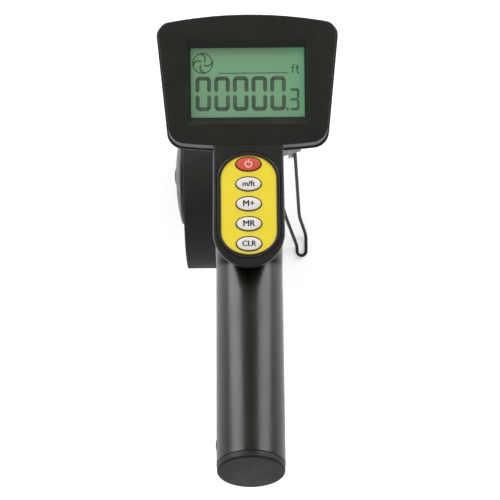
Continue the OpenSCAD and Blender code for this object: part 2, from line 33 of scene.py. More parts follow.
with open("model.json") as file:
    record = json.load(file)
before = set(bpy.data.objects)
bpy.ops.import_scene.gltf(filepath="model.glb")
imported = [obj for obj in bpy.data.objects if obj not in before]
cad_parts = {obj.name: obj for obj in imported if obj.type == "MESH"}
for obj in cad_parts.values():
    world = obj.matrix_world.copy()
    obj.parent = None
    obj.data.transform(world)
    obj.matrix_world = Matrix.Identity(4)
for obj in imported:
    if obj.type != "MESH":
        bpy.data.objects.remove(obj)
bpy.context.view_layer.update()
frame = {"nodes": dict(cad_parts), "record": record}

# Wheel
AXLE_Z = 79.5
WHEEL_R = 79.5
TYRE_OUT_X, TYRE_IN_X = -53.5, -24.0
RIM_R = 67.0

# Head: outline measures at the face and at the seam (half width, top, bottom) and their heights
FACE_Z, SEAM_Z, FLOOR_Z = 570.0, 555.0, 540.0
FACE = (47.6, 62.1, -8.4)
SEAM = (49.2, 63.5, -10.6)
REAR_TOP = (48.7, 63.0, -10.1)
REAR_FLOOR = (45.2, 59.5, -7.1)
HEAD_TAPER = math.radians(5.7)
TOP_BOW, LOW_BOW = 237.0, 334.0
SIDE_AT = 50  # the half width is measured at this y
LOW_CORNER_IN = 14
CORNER_TOP, CORNER_LOW = 6.5, 9.0
SHELL = 2.2
FACE_T = 3.0
LCD_Y, LCD_W, LCD_H = 25.9, 61.0, 37.3
BEVEL_W, BEVEL_H = 65.6, 45.0

# Keypad tongue
CREASE_Y = -8.4
TILT = math.radians(10)
TONGUE_W0, TONGUE_W1, TONGUE_END, TONGUE_D = 18.8, 19.2, -54.4, 14.0
PAD_MID, PAD_W, PAD_L, PAD_STRAIGHT, RIM_W = 31.9, 29.6, 53.4, 28.2, 2.0
KEY_W, KEY_H, KEY_FIRST, KEY_PITCH, KEY_FLANGE = 13.8, 7.9, 9.9, 10.8, 1.2

# Grip: its axis starts at the root and rises away from the head
GRIP_ROOT = Vector((0, -74.8, 547))
GRIP_RISE = math.radians(35)
GRIP_R0, GRIP_R1, GRIP_LEN = 18.3, 17.5, 119.5
SCREW_S, SCREW_N, SIDE_SCREW_S = (25, 95), -12.8, 108.0
NECK_SCREW_Y, NECK_SCREW_Z = -27, 508
HEAD_SCREWS = ((37, 48), (-37, 48), (33, 1), (-33, 1))
POLE_R = 11.0
PARTING = 0.05

WORLD = Matrix.Identity(4)
ON_TONGUE = Matrix.Translation((0, CREASE_Y, FACE_Z)) @ Matrix.Rotation(-TILT, 4, "X")
ON_GRIP = Matrix.Translation(GRIP_ROOT) @ Matrix.Rotation(math.pi / 2 - GRIP_RISE, 4, "X")
ON_AXLE = Matrix.Translation((0, 0, AXLE_Z)) @ Matrix.Rotation(math.pi / 2, 4, "Y")


# ---- Outlines and profiles ----

def arc(cx, cy, r, a0, a1, steps):
    angles = [a0 + (a1 - a0) * i / steps for i in range(steps + 1)]
    return [(cx + r * math.cos(a), cy + r * math.sin(a)) for a in angles]


def head_outline(side, top, bottom):
    """Straight sides that narrow downward, bowed top and bottom edges, rounded corners."""
    k = math.tan(HEAD_TAPER)
    c = math.sqrt(1 + k * k)
    bow = TOP_BOW - CORNER_TOP
    uy = top - TOP_BOW + math.sqrt(bow ** 2 - (side - CORNER_TOP) ** 2)
    ux = side + (uy - SIDE_AT) * k - CORNER_TOP * c
    ua = math.atan2(uy - top + TOP_BOW, ux)
    ly = bottom + LOW_BOW - math.sqrt((LOW_BOW - CORNER_LOW) ** 2 - (side - LOW_CORNER_IN) ** 2)
    lx = side + (ly - SIDE_AT) * k - CORNER_LOW * c
    la = math.atan2(ly - bottom - LOW_BOW, lx)
    pi = math.pi
    return (
        arc(lx, ly, CORNER_LOW, la, -HEAD_TAPER, 10)
        + arc(ux, uy, CORNER_TOP, -HEAD_TAPER, ua, 10)
        + arc(0, top - TOP_BOW, TOP_BOW, ua, pi - ua, 24)
        + arc(-ux, uy, CORNER_TOP, pi - ua, pi + HEAD_TAPER, 10)
        + arc(-lx, ly, CORNER_LOW, pi + HEAD_TAPER, pi - la, 10)
        + arc(0, bottom + LOW_BOW, LOW_BOW, -pi - la, la, 16)
    )


def head_level(low, z0, high, z1, z, inset=0.0):
    """The head's outline at height z between two given levels, drawn in by an inset."""
    t = (z - z0) / (z1 - z0)
    side, top, bottom = (a + (b - a) * t for a, b in zip(low, high))
    outline = head_outline(side - inset, top - inset, bottom + inset)
    return [(x, y, z) for x, y in outline]


def tongue_level(w, inset=0.0):
    """The tongue's outline drawn in by an inset, on the plane w above its surface."""
    plan = arc(0, TONGUE_END, TONGUE_W1 - inset, math.pi, 2 * math.pi, 48)
    sides = [(TONGUE_W0 - inset, CREASE_Y + 6.4), (-TONGUE_W0 + inset, CREASE_Y + 6.4)]
    level = []
    for x, y in sides + plan:
        z = FACE_Z + (w - (y - CREASE_Y) * math.sin(TILT)) / math.cos(TILT)
        level.append((x, y, max(z, SEAM_Z + 0.05)))
    return level


def oval(width, length, straight, steps=32):
    """Straight sides and half-ellipse ends, its length along Y."""
    rise = (length - straight) / 2
    top = [(x * width / 2, y * rise + straight / 2) for x, y in arc(0, 0, 1, 0, math.pi, steps)]
    return top + [(-x, -y) for x, y in top]


def ellipse(width, height, steps=64):
    return [(x * width / 2, y * height / 2) for x, y in arc(0, 0, 1, 0, 2 * math.pi, steps)[:-1]]


def fillet(points, steps=6):
    """A polyline of (a, b, radius) with each corner of a radius above 0 rounded."""
    out = []
    n = len(points)
    for i, (a, b, r) in enumerate(points):
        here = Vector((a, b))
        before = Vector(points[i - 1][:2]) - here
        after = Vector(points[(i + 1) % n][:2]) - here
        if r <= 0 or not before.length or not after.length:
            out.append((a, b))
            continue
        turn = math.pi - before.angle(after)
        cut = min(r * math.tan(turn / 2), 0.49 * before.length, 0.49 * after.length)
        p, q = here + before.normalized() * cut, here + after.normalized() * cut
        for k in range(steps + 1):
            t = k / steps
            out.append(tuple((1 - t) ** 2 * p + 2 * t * (1 - t) * here + t * t * q))
    return out


# ---- Mesh helpers ----

def add_object(name, data):
    obj = bpy.data.objects.new(name, data)
    bpy.context.scene.collection.objects.link(obj)
    return obj


def evaluated_mesh(obj):
    """The object's mesh with its modifiers or curve settings applied."""
    graph = bpy.context.evaluated_depsgraph_get()
    return bpy.data.meshes.new_from_object(obj.evaluated_get(graph))


def build(name, verts, faces, place=WORLD):
    mesh = bpy.data.meshes.new(name)
    mesh.from_pydata([(place @ Vector(v)) * MM for v in verts], [], faces)
    bm = bmesh.new()
    bm.from_mesh(mesh)
    bmesh.ops.remove_doubles(bm, verts=bm.verts, dist=1e-7)
    bmesh.ops.recalc_face_normals(bm, faces=bm.faces)
    bm.to_mesh(mesh)
    bm.free()
    return add_object(name, mesh)


def loft(name, rings, place=WORLD, ring_of_rings=False, open_rings=False):
    """A skin over rings of equal length, closed by end faces or, for a ring of rings, on itself."""
    n, count = len(rings[0]), len(rings)
    verts = [v for ring in rings for v in ring]
    faces = []
    for i in range(count if ring_of_rings else count - 1):
        j = (i + 1) % count
        faces += [(i * n + k, i * n + (k + 1) % n, j * n + (k + 1) % n, j * n + k)
                  for k in range(n - 1 if open_rings else n)]
    if not ring_of_rings:
        faces += [tuple(range(n)), tuple((count - 1) * n + k for k in range(n))]
    return build(name, verts, faces, place)


def prism(name, outline, z0, z1, place=WORLD):
    return loft(name, [[(x, y, z0) for x, y in outline], [(x, y, z1) for x, y in outline]], place)


def block(name, low, high, place=WORLD):
    (x0, y0, z0), (x1, y1, z1) = low, high
    return prism(name, [(x0, y0), (x1, y0), (x1, y1), (x0, y1)], z0, z1, place)


def lathe(name, profile, place, steps=128):
    """A closed profile of (radius, height) turned about the local z axis."""
    rings = []
    for i in range(steps):
        a = 2 * math.pi * i / steps
        rings.append([(r * math.cos(a), r * math.sin(a), h) for r, h in profile])
    on_axis = profile[0][0] == 0 and profile[-1][0] == 0
    return loft(name, rings, place, ring_of_rings=True, open_rings=on_axis)


def take_mesh(obj):
    """Applies the object's modifiers."""
    mesh = evaluated_mesh(obj)
    obj.modifiers.clear()
    obj.data = mesh


def combine(obj, tool, operation="DIFFERENCE"):
    cut = obj.modifiers.new("combine", "BOOLEAN")
    cut.operation, cut.solver, cut.object = operation, "EXACT", tool
    take_mesh(obj)
    bpy.data.objects.remove(tool)
    return obj


def join(name, objects):
    """One mesh from several, each keeping its own materials."""
    bm = bmesh.new()
    materials = []
    for obj in objects:
        first = len(bm.faces)
        bm.from_mesh(obj.data)
        bm.faces.ensure_lookup_table()
        own = list(obj.data.materials) or [None]
        for face in bm.faces[first:]:
            face.material_index += len(materials)
        materials += own
        bpy.data.objects.remove(obj)
    mesh = bpy.data.meshes.new(name)
    bm.to_mesh(mesh)
    bm.free()
    for material in materials:
        mesh.materials.append(material)
    return add_object(name, mesh)


def smooth(obj, degrees=32):
    bm = bmesh.new()
    bm.from_mesh(obj.data)
    for face in bm.faces:
        face.smooth = True
    limit = math.radians(degrees)
    for edge in bm.edges:
        edge.smooth = len(edge.link_faces) == 2 and edge.calc_face_angle(0) < limit
    bm.to_mesh(obj.data)
    bm.free()


def soften(obj, width=0.5, segments=2, degrees=35):
    """Small rounded edges, with the faces between them kept flat."""
    bevel = obj.modifiers.new("soft_edges", "BEVEL")
    bevel.width, bevel.segments = width * MM, segments
    bevel.limit_method, bevel.angle_limit = "ANGLE", math.radians(degrees)
    bevel.harden_normals = False


def paint(obj, material):
    obj.data.materials.clear()
    obj.data.materials.append(material)
    return obj


def piece(obj, body, nodes=(), material=None, degrees=32):
    """Finishes a new piece: its material, shading, body and the CAD nodes it stands for."""
    if material is not None:
        paint(obj, material)
    if obj.type == "MESH":
        smooth(obj, degrees)
    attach(obj, body)
    if nodes:
        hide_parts(*nodes)
    return obj


# ---- Materials ----

def surface(name, colour, rough, metal=0.0, grain=0.4, bump=0.15, mottle=0.12, spread=0.06,
            patch=9.0, stretch=(1, 1, 1), **sockets):
    """A surface with a fine grain in its relief and soft patches in its colour and gloss.

    grain and patch are the sizes of the relief and of the patches; mottle and spread are how far
    colour and roughness move in the patches; stretch lengthens the grain along an axis.
    """
    material = bpy.data.materials.new(name)
    material.use_nodes = True
    nodes, links = material.node_tree.nodes, material.node_tree.links
    shader = nodes["Principled BSDF"]
    shader.inputs["Metallic"].default_value = metal
    for socket, value in sockets.items():
        shader.inputs[socket.replace("_", " ")].default_value = value
    place = nodes.new("ShaderNodeTexCoord")
    scaled = nodes.new("ShaderNodeMapping")
    scaled.inputs["Scale"].default_value = stretch
    links.new(place.outputs["Object"], scaled.inputs["Vector"])

    fine = nodes.new("ShaderNodeTexNoise")
    fine.inputs["Scale"].default_value = 1 / (grain * MM)
    fine.inputs["Detail"].default_value = 3
    links.new(scaled.outputs["Vector"], fine.inputs["Vector"])
    relief = nodes.new("ShaderNodeBump")
    relief.inputs["Strength"].default_value = bump
    relief.inputs["Distance"].default_value = grain * MM * 0.5
    links.new(fine.outputs["Fac"], relief.inputs["Height"])
    links.new(relief.outputs["Normal"], shader.inputs["Normal"])

    wide = nodes.new("ShaderNodeTexNoise")
    wide.inputs["Scale"].default_value = 1 / (patch * MM)
    wide.inputs["Detail"].default_value = 4
    links.new(scaled.outputs["Vector"], wide.inputs["Vector"])
    tint = nodes.new("ShaderNodeValToRGB")
    tint.color_ramp.elements[0].position, tint.color_ramp.elements[1].position = 0.3, 0.7
    for element, level in zip(tint.color_ramp.elements, (1 - mottle, 1 + mottle)):
        element.color = (*(min(1, c * level) for c in colour), 1)
    links.new(wide.outputs["Fac"], tint.inputs["Fac"])
    links.new(tint.outputs["Color"], shader.inputs["Base Color"])
    gloss = nodes.new("ShaderNodeMapRange")
    gloss.inputs["From Min"].default_value, gloss.inputs["From Max"].default_value = 0.3, 0.7
    gloss.inputs["To Min"].default_value = max(0.02, rough - spread)
    gloss.inputs["To Max"].default_value = min(1, rough + spread)
    links.new(wide.outputs["Fac"], gloss.inputs["Value"])
    links.new(gloss.outputs["Result"], shader.inputs["Roughness"])
    return material


def add_pattern(material, texture, colour, scale, low, high, **settings):
    """Lays a second colour over a material where a texture's value passes from low to high."""
    nodes, links = material.node_tree.nodes, material.node_tree.links
    shader = nodes["Principled BSDF"]
    place = nodes.new("ShaderNodeTexCoord")
    pattern = nodes.new(texture)
    pattern.inputs["Scale"].default_value = scale
    for key, value in settings.items():
        setattr(pattern, key, value)
    links.new(place.outputs["Object"], pattern.inputs["Vector"])
    step = nodes.new("ShaderNodeMapRange")
    step.inputs["From Min"].default_value, step.inputs["From Max"].default_value = low, high
    links.new(pattern.outputs[0 if texture != "ShaderNodeTexWave" else "Fac"], step.inputs["Value"])
    over = nodes.new("ShaderNodeMix")
    over.data_type = "RGBA"
    base = shader.inputs["Base Color"].links[0].from_socket
    links.new(step.outputs["Result"], over.inputs["Factor"])
    links.new(base, over.inputs["A"])
    over.inputs["B"].default_value = (*colour, 1)
    links.new(over.outputs["Result"], shader.inputs["Base Color"])
    return material


def lcd_green_glow():
    """The display's reflective green field, given a faint painted glow that grows brighter towards the
    right.
    """
    material = surface("lcd_green", (0.165, 0.345, 0.18), 0.5, grain=0.25, bump=0.03, mottle=0.03,
                       patch=20, Emission_Strength=0.2)
    nodes, links = material.node_tree.nodes, material.node_tree.links
    place = nodes.new("ShaderNodeTexCoord")
    split = nodes.new("ShaderNodeSeparateXYZ")
    links.new(place.outputs["Object"], split.inputs["Vector"])
    # The emission set up below is a painted glow, stronger towards the right edge
    glow = nodes.new("ShaderNodeMapRange")
    glow.inputs["From Min"].default_value, glow.inputs["From Max"].default_value = -32 * MM, 32 * MM
    links.new(split.outputs["X"], glow.inputs["Value"])
    ramp = nodes.new("ShaderNodeValToRGB")
    ramp.color_ramp.elements[0].color = (0.2, 0.45, 0.24, 1)
    ramp.color_ramp.elements[1].color = (0.12, 0.75, 0.35, 1)
    ramp.color_ramp.elements[0].position = 0.8
    links.new(glow.outputs["Result"], ramp.inputs["Fac"])
    links.new(ramp.outputs["Color"], shader_of(material).inputs["Emission Color"])
    return material


def shader_of(material):
    return material.node_tree.nodes["Principled BSDF"]


def make_materials():
    m = {
        "head_plastic": surface("head_plastic", (0.0155, 0.0185, 0.014), 0.44, grain=0.5, bump=0.12,
                                Specular_IOR_Level=0.24),
        # A glossier black for the tongue's edge; its lighter colour is a painted highlight
        "painted_edge_sheen": surface("painted_edge_sheen", (0.03, 0.032, 0.029), 0.26, grain=0.5, bump=0.04,
                               Specular_IOR_Level=0.8),
        "cap_plastic": surface("cap_plastic", (0.008, 0.0095, 0.0072), 0.5, grain=0.5, bump=0.14,
                               Specular_IOR_Level=0.25),
        "grip_plastic": surface("grip_plastic", (0.0085, 0.0105, 0.0072), 0.29, grain=0.45, bump=0.06,
                                spread=0.04, patch=16, Specular_IOR_Level=0.34),
        "body_plastic": surface("body_plastic", (0.018, 0.019, 0.017), 0.46, grain=0.5, bump=0.14),
        "wheel_plastic": surface("wheel_plastic", (0.015, 0.015, 0.014), 0.4, bump=0.1, patch=14),
        "tyre_rubber": surface("tyre_rubber", (0.014, 0.0145, 0.0115), 0.74, grain=0.6, bump=0.2,
                               mottle=0.2, patch=9, Specular_IOR_Level=0.3),
        "nut_black": surface("nut_black", (0.012, 0.012, 0.012), 0.35, grain=0.3, bump=0.08),
        "steel": surface("steel", (0.56, 0.57, 0.58), 0.3, metal=1, grain=0.25, bump=0.08, patch=3),
        "bearing_steel": surface("bearing_steel", (0.62, 0.62, 0.63), 0.2, metal=1, grain=0.2,
                                 bump=0.04, patch=4),
        "wire_coating": surface("wire_coating", (0.012, 0.012, 0.012), 0.45, grain=0.6, bump=0.12,
                                patch=5, Specular_IOR_Level=0.35),
        "tube_black": surface("tube_black", (0.014, 0.014, 0.015), 0.36, metal=0.3, grain=0.35,
                              bump=0.1, patch=5, stretch=(1, 1, 0.06)),
        "tube_bright": surface("tube_bright", (0.6, 0.61, 0.62), 0.26, metal=1, grain=0.3, bump=0.1,
                               patch=5, stretch=(1, 1, 0.05)),
        "chip_black": surface("chip_black", (0.02, 0.02, 0.02), 0.55, grain=0.2),
        "lead_jacket": surface("lead_jacket", (0.018, 0.018, 0.02), 0.5, grain=0.5),
        "lever_yellow": surface("lever_yellow", (0.86, 0.66, 0.03), 0.4, grain=0.5, bump=0.12,
                                mottle=0.05),
        "magnet_nickel": surface("magnet_nickel", (0.68, 0.66, 0.62), 0.18, metal=1, grain=0.2,
                                 bump=0.03),
        "glide_white": surface("glide_white", (0.78, 0.78, 0.75), 0.45, grain=0.5, mottle=0.05),
        "lcd_green": lcd_green_glow(),
        "panel_yellow": surface("panel_yellow", (0.93, 0.75, 0.035), 0.48, grain=0.35, bump=0.07,
                                mottle=0.02, patch=12),
        "mat_silicone": surface("mat_silicone", (0.25, 0.25, 0.25), 0.6, grain=0.4, mottle=0.08),
        "key_red": surface("key_red", (0.72, 0.085, 0.05), 0.5, grain=0.3, bump=0.08, mottle=0.04),
        "key_white": surface("key_white", (0.84, 0.81, 0.79), 0.5, grain=0.3, bump=0.08,
                             mottle=0.02),
    }
    m["zinc_plate"] = add_pattern(
        surface("zinc_plate", (0.37, 0.375, 0.36), 0.42, metal=0.8, grain=0.5, bump=0.1, patch=2.5),
        "ShaderNodeTexVoronoi", (0.32, 0.325, 0.31), 420, 0.45, 0.75)
    m["circuit_board"] = add_pattern(
        surface("circuit_board", (0.012, 0.12, 0.045), 0.38, grain=0.3, bump=0.1, mottle=0.15),
        "ShaderNodeTexWave", (0.03, 0.24, 0.09), 420, 0.8, 0.9, bands_direction="X")
    m["cell_wrap"] = add_pattern(
        surface("cell_wrap", (0.02, 0.02, 0.022), 0.3, grain=0.4, bump=0.05),
        "ShaderNodeTexWave", (0.75, 0.5, 0.1), 5, 0.75, 0.78, bands_direction="Y")
    m["window_clear"] = surface("window_clear", (0.3, 0.4, 0.3), 0.08, grain=0.8, bump=0.02,
                                mottle=0.02, spread=0.03, Alpha=0.08)
    m["window_clear"].surface_render_method = "BLENDED"
    m["print_black"] = surface("print_black", (0.012, 0.012, 0.012), 0.5, grain=0.25, bump=0.06)
    m["print_white"] = surface("print_white", (0.8, 0.78, 0.76), 0.5, grain=0.25, bump=0.05)
    m["segment_dark"] = surface("segment_dark", (0.042, 0.082, 0.05), 0.5, grain=0.25, bump=0.03,
                                mottle=0.45, patch=14)
    return m


# ---- Wheel ----

def make_wheel(m):
    x0, x1 = TYRE_OUT_X, TYRE_IN_X
    profile = [(RIM_R, x0, 0.6), (WHEEL_R - 4, x0, 0.5), (WHEEL_R - 3.6, x0 + 0.5, 0.4),
               (WHEEL_R, x0 + 0.5, 1.0), (WHEEL_R, x1 - 0.5, 1.0), (WHEEL_R - 3.6, x1 - 0.5, 0.4),
               (WHEEL_R - 4, x1, 0.5), (RIM_R, x1, 0.6)]
    piece(lathe("tyre_tread", fillet(profile, 5), ON_AXLE, 192), "wheel",
          ["tyre"], m["tyre_rubber"])

    rim = 41.0
    outer = [(r, -62.4 + 4.9 * (r / rim) ** 2.4, 0) for r in (7.6, 12, 18, 24, 29, 33, 36, 38.5)]
    outer[0] = (*outer[0][:2], 0.5)
    outer += [(40.2, -57.75, 0), (41.3, -57.1, 1.1), (41.3, -53.2, 0.3)]
    inner = [(39.2, -53.2, 0.3), (39.2, -55.3, 0.6), (36, -56.6, 0)]
    inner += [(r, -60.4 + 4.9 * (r / rim) ** 2.4, 0) for r in (33, 27, 20, 13)]
    inner += [(7.6, -60.2, 0.3)]
    piece(lathe("hub_dome", fillet(outer + inner, 5), ON_AXLE, 160), "wheel",
          ["hub_cover"], m["wheel_plastic"])

    nut = fillet([(0, -63.6, 0), (4.6, -63.6, 0), (7, -62.9, 1.2), (7, -57, 0.3), (0, -57, 0)], 5)
    cap = lathe("axle_cap", nut, ON_AXLE, 96)
    combine(cap, prism("hexagon", arc(0, 0, 2.9, 0, 2 * math.pi, 6)[:-1], -64, -61.8, ON_AXLE))
    piece(cap, body_of("axle_nut"), ["axle_nut"], m["nut_black"])


# ---- Stand ----

def bend(before, corner, after, cut, steps=8):
    p = corner + (before - corner).normalized() * cut
    q = corner + (after - corner).normalized() * cut
    return [(1 - t) ** 2 * p + 2 * t * (1 - t) * corner + t * t * q
            for t in (i / steps for i in range(steps + 1))]


def make_stand(m):
    """A bent wire: two legs on one pivot axis that meet in a narrow U on the floor."""
    pivot_y, pivot_z, wire_r = 17.0, 122.4, 1.5
    foot_x, foot_y, foot_r = 47.6, -65.4, 4.1
    out = [Vector(p) for p in [
        (38.5, pivot_y, pivot_z), (38.7, pivot_y, pivot_z), (45, -34, 25),
        (foot_x + foot_r, -51, wire_r), (foot_x + foot_r, foot_y, wire_r)]]
    back = [Vector(p) for p in [
        (foot_x - foot_r, foot_y, wire_r), (foot_x - foot_r, -61, 2.1), (32.6, -35, 40),
        (14.5, pivot_y, pivot_z), (14.9, pivot_y, pivot_z)]]
    start, end = Vector((34.0, pivot_y, pivot_z)), Vector((20.6, pivot_y, pivot_z))
    route = [start] + bend(start, out[1], out[2], 2.2) + bend(out[1], out[2], out[3], 7)
    route += bend(out[2], out[3], out[4], 5)
    route += [Vector((x, y, wire_r)) for x, y in
              arc(foot_x, foot_y, foot_r, 0, -math.pi, 16)]
    route += bend(back[0], back[1], back[2], 3) + bend(back[1], back[2], back[3], 9)
    route += bend(back[2], back[3], end, 2.2) + [end]
    curve = bpy.data.curves.new("stand_legs", "CURVE")
    curve.dimensions, curve.bevel_depth, curve.bevel_resolution = "3D", wire_r * MM, 6
    curve.use_fill_caps = True
    line = curve.splines.new("POLY")
    line.points.add(len(route) - 1)
    pin = 1.38 / wire_r
    for point, where in zip(line.points, route):
        point.co = (*(where * MM), 1)
        inside_cheek = where.z > 120 and (33 < where.x < 36.2 or 17.3 < where.x < 21)
        point.radius = pin if inside_cheek else 1
    wire = add_object("stand_legs", curve)
    mesh = evaluated_mesh(wire)
    bpy.data.objects.remove(wire)
    legs = add_object("stand_legs", mesh)
    piece(legs, "stand", ["stand_wire"], m["wire_coating"], 50)


# ---- Head ----

def front_form():
    """The head's drafted front block with a rounded face edge, joined to the keypad tongue."""
    def level(z, inset):
        return head_level(SEAM, SEAM_Z, FACE, FACE_Z, z, inset)

    # A rim at the seam, a groove above it, then the wall
    rings = [level(SEAM_Z + up, inset) for up, inset in (
        (0, 0.2), (0.25, 0), (1.15, 0.05), (1.4, 0.3), (1.4, 1.5), (2.5, 1.5), (2.5, 0.8))]
    edge, steps, wall = 0.8, 6, FACE_Z - SEAM_Z - 2.5
    for i in range(steps + 1):
        a = math.pi / 2 * i / steps
        z = FACE_Z - edge + edge * math.sin(a)
        rings.append(level(z, 0.8 * (FACE_Z - z) / wall + edge * (1 - math.cos(a))))
    head = loft("head_front", rings)
    lip, levels = 1.6, [tongue_level(-TONGUE_D)]
    for i in range(steps + 1):
        a = math.pi / 2 * i / steps
        levels.append(tongue_level(-lip + lip * math.sin(a), lip * (1 - math.cos(a))))
    return combine(head, loft("tongue", levels), "UNION")


def make_head_front(m):
    head = front_form()
    hollow = [head_level(SEAM, SEAM_Z, FACE, FACE_Z, z, SHELL)
              for z in (SEAM_Z - 1, FACE_Z - FACE_T)]
    combine(head, loft("hollow", hollow))
    combine(head, loft("tongue_hollow", [tongue_level(-TONGUE_D - 1, SHELL),
                                         tongue_level(-5.0, SHELL)]))
    # The display's opening, a narrow land and a bevel up to the face, its edges a little rounded
    x, y = LCD_W / 2, LCD_H / 2
    bx, by = BEVEL_W / 2, BEVEL_H / 2
    section = [(x, y, -5), (x, y, -2.3), (x + 0.07, y + 0.07, -2.1), (x + 0.25, y + 0.25, -2.0),
               (x + 0.6, y + 0.6, -1.95), (bx - 0.3, by - 0.3, -0.3), (bx, by, -0.08),
               (bx + 0.3, by + 0.3, 0), (bx + 0.3, by + 0.3, 1)]
    opening = [[(hx, LCD_Y - hy, FACE_Z + h), (hx, LCD_Y + hy, FACE_Z + h),
                (-hx, LCD_Y + hy, FACE_Z + h), (-hx, LCD_Y - hy, FACE_Z + h)]
               for hx, hy, h in section]
    combine(head, loft("opening", opening))
    shift = Matrix.Translation((0, -PAD_MID, 0))
    recess = oval(PAD_W + 2 * RIM_W + 0.5, PAD_L + 2 * RIM_W + 0.5, PAD_STRAIGHT)
    combine(head, prism("recess", recess, -9, 5, ON_TONGUE @ shift))
    piece(head, "handle", ["head_front_shell"], m["head_plastic"], 28)
    paint_tongue_edge_sheen(head, m["painted_edge_sheen"])


def paint_tongue_edge_sheen(head, material):
    """The tongue's rounded edge, given a glossier black that is lighter in colour than the face: a painted
    highlight.
    """
    head.data.materials.append(material)
    # Faces on the tongue's sloping edge get the painted highlight material
    for face in head.data.polygons:
        at, n = face.center / MM, face.normal
        if at.y < CREASE_Y - 2.5 and at.z > FACE_Z - 3 and 0.2 < n.z < 0.9 and abs(n.x) > 0.25:
            face.material_index = 1


def rear_level(z, inset=0.0):
    return head_level(REAR_FLOOR, FLOOR_Z, REAR_TOP, SEAM_Z, z, inset)


def make_head_rear(m):
    edge, steps, step_in = 3.5, 6, 0.6
    rings = []
    for i in range(steps, -1, -1):
        a = math.pi / 2 * i / steps
        rings.append(rear_level(FLOOR_Z + edge * (1 - math.sin(a)), edge * (1 - math.cos(a))))
    # A small step inward under the seam, which reads as the joint between the shells
    rings += [rear_level(SEAM_Z - 0.9), rear_level(SEAM_Z - 0.6, step_in),
              rear_level(SEAM_Z, step_in)]
    rear = loft("head_rear", rings)
    hollow = [rear_level(z, SHELL + step_in) for z in (FLOOR_Z + 2.4, SEAM_Z + 1)]
    combine(rear, loft("hollow", hollow))
    for x, y in HEAD_SCREWS:
        combine(rear, prism("screw_well", ellipse(6.4, 6.4, 40), FLOOR_Z - 1, FLOOR_Z + 2,
                            Matrix.Translation((x, y, 0))))
    piece(rear, "handle", ["head_rear_shell"], m["head_plastic"], 28)


# ---- Display ----

# The lit bars of each digit, lettered clockwise from the top, with g in the middle
DIGITS = {"0": "abcdef", "3": "abcdg"}


def segment(x, y, length, thick, upright):
    """One bar of a seven-segment digit, pointed at both ends."""
    h, t = length / 2, thick / 2
    bar = [(-h, 0), (-h + t, t), (h - t, t), (h, 0), (h - t, -t), (-h + t, -t)]
    return [(x - b, y + a) if upright else (x + a, y + b) for a, b in bar]


def digit_bars(char, left, bottom, width, height, thick):
    gap = 0.12
    cx, right, half = left + width / 2, left + width, height / 2
    t = thick / 2
    across, down = width - thick - 2 * gap + thick * 0.6, half - thick * 0.5 - gap
    spots = {
        "a": (cx, bottom + height - t, across, False), "d": (cx, bottom + t, across, False),
        "g": (cx, bottom + half, across, False),
        "f": (left + t, bottom + half * 1.5, down, True), "e": (left + t, bottom + half / 2, down, True),
        "b": (right - t, bottom + half * 1.5, down, True), "c": (right - t, bottom + half / 2, down, True),
    }
    return [segment(x, y, length, thick, upright)
            for x, y, length, upright in (spots[s] for s in DIGITS[char])]


def strip(points, width):
    """A flat band along a polyline, as quads."""
    quads = []
    for (ax, ay), (bx, by) in zip(points, points[1:]):
        d = math.hypot(bx - ax, by - ay)
        nx, ny = -(by - ay) / d * width / 2, (bx - ax) / d * width / 2
        quads.append([(ax + nx, ay + ny), (bx + nx, by + ny), (bx - nx, by - ny), (ax - nx, ay - ny)])
    return quads


def flat_shapes(name, shapes, z, thick, place=WORLD):
    """Thin plates from flat polygons, as one mesh."""
    verts, faces = [], []
    for shape in shapes:
        n, k = len(shape), len(verts)
        verts += [(x, y, z) for x, y in shape] + [(x, y, z - thick) for x, y in shape]
        faces += [tuple(range(k, k + n)), tuple(range(k + n, k + 2 * n))]
        faces += [(k + i, k + (i + 1) % n, k + n + (i + 1) % n, k + n + i) for i in range(n)]
    mesh = bpy.data.meshes.new(name)
    mesh.from_pydata([(place @ Vector(v)) * MM for v in verts], [], faces)
    bm = bmesh.new()
    bm.from_mesh(mesh)
    bmesh.ops.recalc_face_normals(bm, faces=bm.faces)
    bm.to_mesh(mesh)
    bm.free()
    return add_object(name, mesh)


